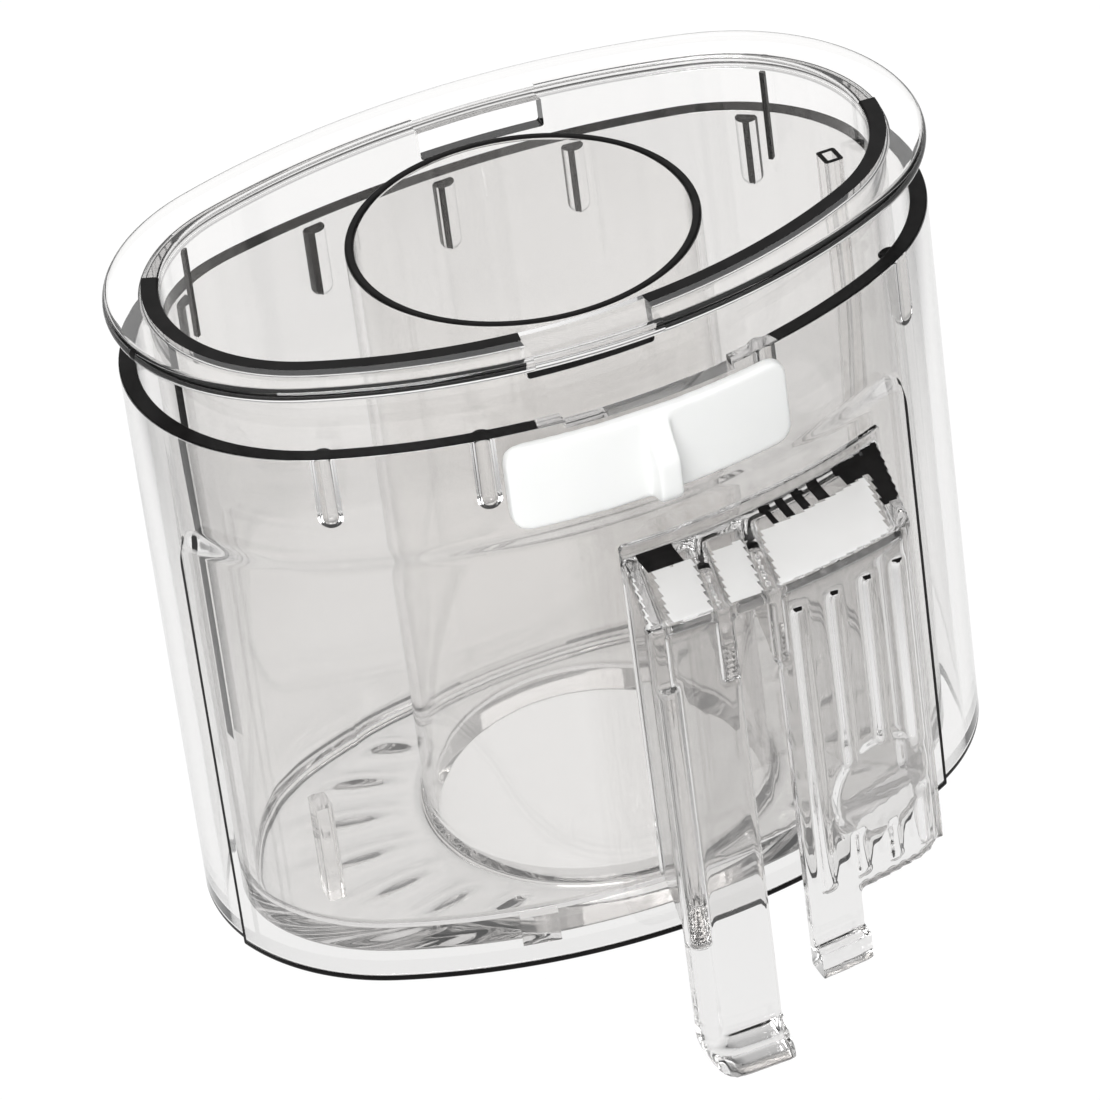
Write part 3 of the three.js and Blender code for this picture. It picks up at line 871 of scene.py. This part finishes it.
def add_floor():
    """A pale floor that glows round the object and falls off beyond, which draws dark edges."""
    signs = ((-1, -1), (1, -1), (1, 1), (-1, 1))
    corners = [(FLOOR_REACH * a, FLOOR_REACH * b, FLOOR_LEVEL) for a, b in signs]
    floor = mesh_object("floor", corners, [(0, 1, 2, 3)])
    floor.data.materials.append(floor_material())


def floor_material():
    """White light in an oval pool, which falls off to grey, over a dark base."""
    material, nodes, links, shader = new_material("floor")
    shader.inputs["Base Color"].default_value = (0.02, 0.02, 0.02, 1)
    shader.inputs["Roughness"].default_value = 1.0
    shader.inputs["Specular IOR Level"].default_value = 0.0
    where = nodes.new("ShaderNodeTexCoord")
    pool = nodes.new("ShaderNodeMapping")
    pool.vector_type = "TEXTURE"
    pool.inputs["Location"].default_value = (GLOW["x"] * MM, GLOW["y"] * MM, FLOOR_LEVEL * MM)
    pool.inputs["Rotation"].default_value = (0, 0, -math.radians(CAMERA["yaw"]))
    pool.inputs["Scale"].default_value = (GLOW["across"] * MM, GLOW["along"] * MM, 1)
    links.new(where.outputs["Object"], pool.inputs["Vector"])
    distance = nodes.new("ShaderNodeVectorMath")
    distance.operation = "LENGTH"
    links.new(pool.outputs["Vector"], distance.inputs[0])
    fall = nodes.new("ShaderNodeMapRange")
    fall.interpolation_type = "SMOOTHSTEP"
    fall.inputs["From Min"].default_value = 1.0
    fall.inputs["From Max"].default_value = GLOW["fade"]
    fall.inputs["To Min"].default_value = 1.0
    fall.inputs["To Max"].default_value = GLOW["far"]
    links.new(distance.outputs["Value"], fall.inputs["Value"])
    shader.inputs["Emission Color"].default_value = (1, 1, 1, 1)
    links.new(fall.outputs["Result"], shader.inputs["Emission Strength"])
    return material


def add_world():
    """Light from round the horizon and overhead, with a dark belt between."""
    world = bpy.data.worlds.new("studio")
    bpy.context.scene.world = world
    world.use_nodes = True
    nodes, links = world.node_tree.nodes, world.node_tree.links
    where = nodes.new("ShaderNodeTexCoord")
    split = nodes.new("ShaderNodeSeparateXYZ")
    ramp = nodes.new("ShaderNodeValToRGB")
    height = nodes.new("ShaderNodeMapRange")
    height.inputs["From Min"].default_value = -1.0
    links.new(where.outputs["Generated"], split.inputs["Vector"])
    links.new(split.outputs["Z"], height.inputs["Value"])
    links.new(height.outputs["Result"], ramp.inputs["Fac"])
    elements = ramp.color_ramp.elements
    while len(elements) < len(SKY_STOPS):
        elements.new(0.5)
    for element, (at, level) in zip(elements, SKY_STOPS):
        element.position = at
        element.color = (level, level, level, 1)
    links.new(ramp.outputs["Color"], nodes["Background"].inputs["Color"])


def add_softbox(name, place, size, power):
    """A rectangle of soft light that faces the object."""
    light = bpy.data.lights.new(name, "AREA")
    light.shape = "RECTANGLE"
    light.size, light.size_y = (MM * s for s in size)
    light.energy = power
    box = bpy.data.objects.new(name, light)
    box.location = Vector(place) * MM
    box.rotation_mode = "QUATERNION"
    box.rotation_quaternion = (Vector(AIM) - Vector(place)).to_track_quat("-Z", "Y")
    bpy.context.scene.collection.objects.link(box)


# ---- Faces with a material of their own: painted shade and painted highlights -------

# A face is level when the upward part of its normal is over LEVEL, and faces up when over UPWARD.
LEVEL = 0.97
UPWARD = 0.7
RAISED_ENDS = [tuple(place_on(SLEEVE, along)[0]) for along in raised_limits()]
# The band of black painted shade round the top of the pusher's wall ends at y = start - slope * x, at
# its left and right.
WALL_SHADE_BAND = dict(start=5.0, slope=0.12)
# Where the arm's faces are painted black, as painted shade and a painted dark reflection.
ARM_SHADE = dict(near=1.9, far=6.8, wall=3.2, wall_far=15.0)
ARM_SHADE_PATCHES = ((-3.6, 2.4), (17.5, 19.0), (20.4, 21.9), (23.3, 25.0), (26.3, 28.4), (31.5, 37.0))
# Where the arm's top plate is painted white, a painted highlight.
ARM_HIGHLIGHT = dict(near=7.0, edge=0.8, bar=1.6, right=4.0)


def faces_up(normal):
    return normal.z > UPWARD


def sleeve_shade_faces(centre, normal):
    """Painted shade: the rim, the fins' tops, the outer bottom edge and the ends of the raised front,
    painted black.
    """
    x, y, z = centre
    out = outward(SLEEVE, x, y)
    in_shade_gap = y < 0 and RIM_SHADE_GAP["left"] < x < RIM_SHADE_GAP["right"]
    rim = faces_up(normal) and z > FIN["top"] - NEARLY and not in_shade_gap
    bottom = z < BOTTOM_LINE["height"] and out > -BOTTOM_LINE["depth"] and abs(normal.z) < LEVEL
    from_end = min(math.dist((x, y), end) for end in RAISED_ENDS)
    raised = out > 0.1 and z < RAISED["top"] and from_end < RAISED["line"]
    return rim or bottom or raised or back_fin_shade(centre, normal)


def back_fin_shade(centre, normal):
    """Painted shade: the innermost strip of each fin at the back, painted black."""
    x, y, z = centre
    inside = outward(SLEEVE, x, y) < 0.2 - SLEEVE_WALL - FIN["radius"] / 2
    return y > 0 and inside and z > FIN["bottom"] and normal.x < -0.1 and normal.y < -0.7


def pusher_shade_faces(centre, normal):
    """Painted shade: the feed tube's rim, the top of the wall in front and at the ends, the window's
    sill, the stop ribs and a line down the wall, painted black.
    """
    x, y, z = centre
    from_tube = math.hypot(x, y - TUBE["y"]) - TUBE["radius"]
    tube_rim = z > TUBE["top"] - NEARLY and -TUBE["wall"] - NEARLY < from_tube < NEARLY
    out = outward(PUSHER, x, y)
    in_window = y < 0 and abs(x - WINDOW["front_x"]) < WINDOW["width"] / 2
    in_band = y < WALL_SHADE_BAND["start"] - WALL_SHADE_BAND["slope"] * x and not in_window
    wall_top = z > PUSHER_TOP - 0.4 and out < RIM_BAND and in_band
    sill = y < 0 and out < 0 and abs(z - WINDOW["low"]) < NEARLY and faces_up(normal)
    on_rib = y > 0 and 0.2 < out < STOP_RIB["proud"] + 0.1
    rib = on_rib and STOP_RIB["low"] - 1 < z < STOP_RIB["high"] + 0.1 and abs(normal.z) < 0.5
    on_line = abs(y - MOULD_LINE["y"]) < MOULD_LINE["half"] and out > -0.2 and z > MOULD_LINE["low"]
    line = on_line and normal.x < -0.5
    return tube_rim or wall_top or sill or rib or line


def pusher_floor_shade(centre, normal):
    """Painted shade: the pusher's floor, between the feed tube and the wall, which gets the darker arm
    plastic.
    """
    x, y, z = centre
    between = outward(PUSHER, x, y) < -0.5 and math.hypot(x, y - TUBE["y"]) > TUBE["radius"]
    return between and z < FLOOR_TOP + COVE


def on_arm_top(z, normal):
    return z > ARM["top"] - 0.4 and faces_up(normal)


def arm_shade_faces(centre, normal):
    """Painted black: the top of the arm's right wall and its ribs' tops as painted shade, and patches of
    its plate by the sleeve as a painted dark reflection.
    """
    x, y, z = centre
    out = outward(SLEEVE, x, y)
    if not on_arm_top(z, normal):
        return normal.z > 0.6 and abs(z - PANEL_RIB["high"]) < 1 and out > ARM["far"]
    wall_top = leaned(ARM["right"] - ARM_SHADE["wall"], y) < x and out < ARM_SHADE["wall_far"]
    in_strip = ARM_SHADE["near"] < out < ARM_SHADE["far"]
    return wall_top or in_strip and any(left < x < right for left, right in ARM_SHADE_PATCHES)


def arm_highlight_faces(centre, normal):
    """Painted highlight: the part of the arm's top plate between its walls and gussets, painted white.
    """
    x, y, z = centre
    out = outward(SLEEVE, x, y)
    if not on_arm_top(z, normal) or not ARM_HIGHLIGHT["near"] < out < ARM["far"] - ARM_HIGHLIGHT["edge"]:
        return False
    gussets = [left + GUSSET["width"] / 2 for left in GUSSETS]
    bars = [ARM["left"] + ARM["wall"], *gussets, ARM["right"] - ARM["wall"]]
    clear_of_bars = all(abs(x - leaned(bar, y)) > ARM_HIGHLIGHT["bar"] for bar in bars)
    return clear_of_bars and x < leaned(ARM["right"] - ARM_HIGHLIGHT["right"], y)


def post_rim_shade(centre, normal):
    """Painted shade: the rim of the hollow post, painted black."""
    return faces_up(normal) and centre.z > END_POST["top"] - 1


# ---- Build --------------------------------------------------------------------------

sleeve_plastic = clear_plastic("clear_sleeve", clearness=0.86)
pusher_plastic = clear_plastic("clear_pusher", clearness=0.975)
arm_plastic = clear_plastic("clear_arm", clearness=0.83)
lock_plastic = white_plastic()
# Painted shade: near-black faces where the clear plastic shows dark edges.
black_shade = shade_paint_material("black_shade_paint")
# Painted highlight: half-clear white faces on the arm's top plate.
white_highlight = highlight_paint_material("white_highlight_paint")

paint(sleeve(), sleeve_plastic, (black_shade, sleeve_shade_faces))
paint(interlock_arm(), arm_plastic, (black_shade, arm_shade_faces), (white_highlight, arm_highlight_faces))
# The pusher's floor gets the darker arm plastic, a painted shade.
paint(pusher(), pusher_plastic, (black_shade, pusher_shade_faces), (arm_plastic, pusher_floor_shade))
paint(post("end_post_clear", END_POST, "end_post", True), pusher_plastic, (black_shade, post_rim_shade))
paint(post("corner_post_clear", CORNER_POST, "corner_post", False), pusher_plastic)
for piece in (lock_slider(), lock_retainer()):
    paint(piece, lock_plastic)

add_camera()
add_floor()
add_world()
add_softbox("key", place=(-350, -500, 700), size=(500, 500), power=6.0)
add_softbox("back", place=(400, 1150, 860), size=(900, 600), power=1.5)

scene = bpy.context.scene
scene.view_settings.view_transform = "Standard"
scene.cycles.max_bounces = 19
scene.cycles.transmission_bounces = 19
scene.cycles.glossy_bounces = 16
scene.cycles.use_denoising = True
